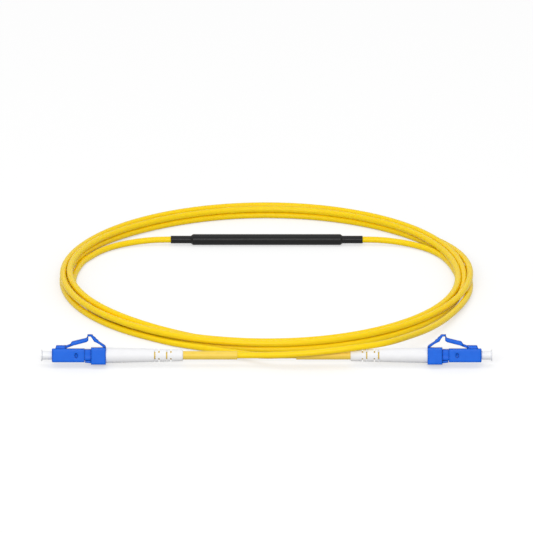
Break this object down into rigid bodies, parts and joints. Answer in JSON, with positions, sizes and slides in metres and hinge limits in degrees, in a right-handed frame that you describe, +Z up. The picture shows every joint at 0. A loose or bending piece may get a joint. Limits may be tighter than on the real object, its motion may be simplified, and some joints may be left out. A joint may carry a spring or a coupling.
{
  "type": "fibre test cable",
  "caption": "Coiled yellow single-fibre test cable with a blue latched plug, white boot and dust cap at each end and a black heat-shrunk in-line unit midway.",
  "frame": {"origin": "on the floor, in the middle of the plugs and the in-line unit", "axes": "+X from the left plug to the right plug, +Y to the back, +Z up"},
  "size_m": [0.1504, 0.153, 0.0108],
  "materials": {
    "jacket_yellow": "satin",
    "sleeve_yellow": "satin",
    "plug_blue": "semi-gloss",
    "boot_white": "satin",
    "cap_white": "satin",
    "shrink_black": "satin",
    "zirconia": "polished",
    "steel": "plain",
    "buffer_white": "plain"
  },
  "bodies": {
    "cable": {"left_plug_housing": "plug_blue", "left_trigger_clip": "plug_blue", "left_spring": "steel", "left_rear_body": "steel", "left_crimp_ring": "steel", "left_boot": "boot_white", "left_buildup_sleeve": "sleeve_yellow", "left_cable_end": "jacket_yellow", "right_plug_housing": "plug_blue", "right_trigger_clip": "plug_blue", "right_spring": "steel", "right_rear_body": "steel", "right_crimp_ring": "steel", "right_boot": "boot_white", "right_buildup_sleeve": "sleeve_yellow", "right_cable_end": "jacket_yellow", "shrink_sleeve": "shrink_black", "inline_tube": "steel", "inline_fibre": "buffer_white", "cable_coil": "jacket_yellow", "left_lead": "jacket_yellow", "right_lead": "jacket_yellow", "unit_left_lead": "jacket_yellow", "unit_right_lead": "jacket_yellow"},
    "left_cap": {"left_dust_cap": "cap_white"},
    "left_ferrule_group": {"left_ferrule": "zirconia", "left_ferrule_flange": "steel", "left_fibre": "buffer_white"},
    "left_latch_arm": {"left_latch": "plug_blue"},
    "left_trigger_arm": {"left_trigger": "plug_blue"},
    "right_cap": {"right_dust_cap": "cap_white"},
    "right_ferrule_group": {"right_ferrule": "zirconia", "right_ferrule_flange": "steel", "right_fibre": "buffer_white"},
    "right_latch_arm": {"right_latch": "plug_blue"},
    "right_trigger_arm": {"right_trigger": "plug_blue"}
  },
  "joints": [
    {"name": "left_cap_off", "type": "slide", "parent": "cable", "child": "left_cap", "axis": [-1, 0, 0], "range_m": [0, 0.02]},
    {"name": "left_ferrule_float", "type": "slide", "parent": "cable", "child": "left_ferrule_group", "axis": [1, 0, 0], "range_m": [0, 0.0005], "stiffness_N_per_m": 2000},
    {"name": "left_trigger_press", "type": "hinge", "parent": "cable", "child": "left_trigger_arm", "pos_m": [-0.05415, -0.05728, 0.00649], "axis": [0, -0.9563, 0.2924], "range_deg": [0, 12.5], "stiffness_Nm_per_rad": 0.08},
    {"name": "left_latch_flex", "type": "hinge", "parent": "cable", "child": "left_latch_arm", "pos_m": [-0.0667, -0.05732, 0.00636], "axis": [0, 0.9563, -0.2924], "range_deg": [0, 10]},
    {"name": "right_cap_off", "type": "slide", "parent": "cable", "child": "right_cap", "axis": [1, 0, 0], "range_m": [0, 0.02]},
    {"name": "right_ferrule_float", "type": "slide", "parent": "cable", "child": "right_ferrule_group", "axis": [-1, 0, 0], "range_m": [0, 0.0005], "stiffness_N_per_m": 2000},
    {"name": "right_trigger_press", "type": "hinge", "parent": "cable", "child": "right_trigger_arm", "pos_m": [0.05415, -0.05728, 0.00649], "axis": [0, 0.9563, -0.2924], "range_deg": [0, 12.5], "stiffness_Nm_per_rad": 0.08},
    {"name": "right_latch_flex", "type": "hinge", "parent": "cable", "child": "right_latch_arm", "pos_m": [0.0667, -0.05732, 0.00636], "axis": [0, -0.9563, 0.2924], "range_deg": [0, 10]}
  ],
  "couplings": [
    {"joint": "left_latch_flex", "follows": "left_trigger_press", "ratio": 0.8},
    {"joint": "right_latch_flex", "follows": "right_trigger_press", "ratio": 0.8}
  ]
}
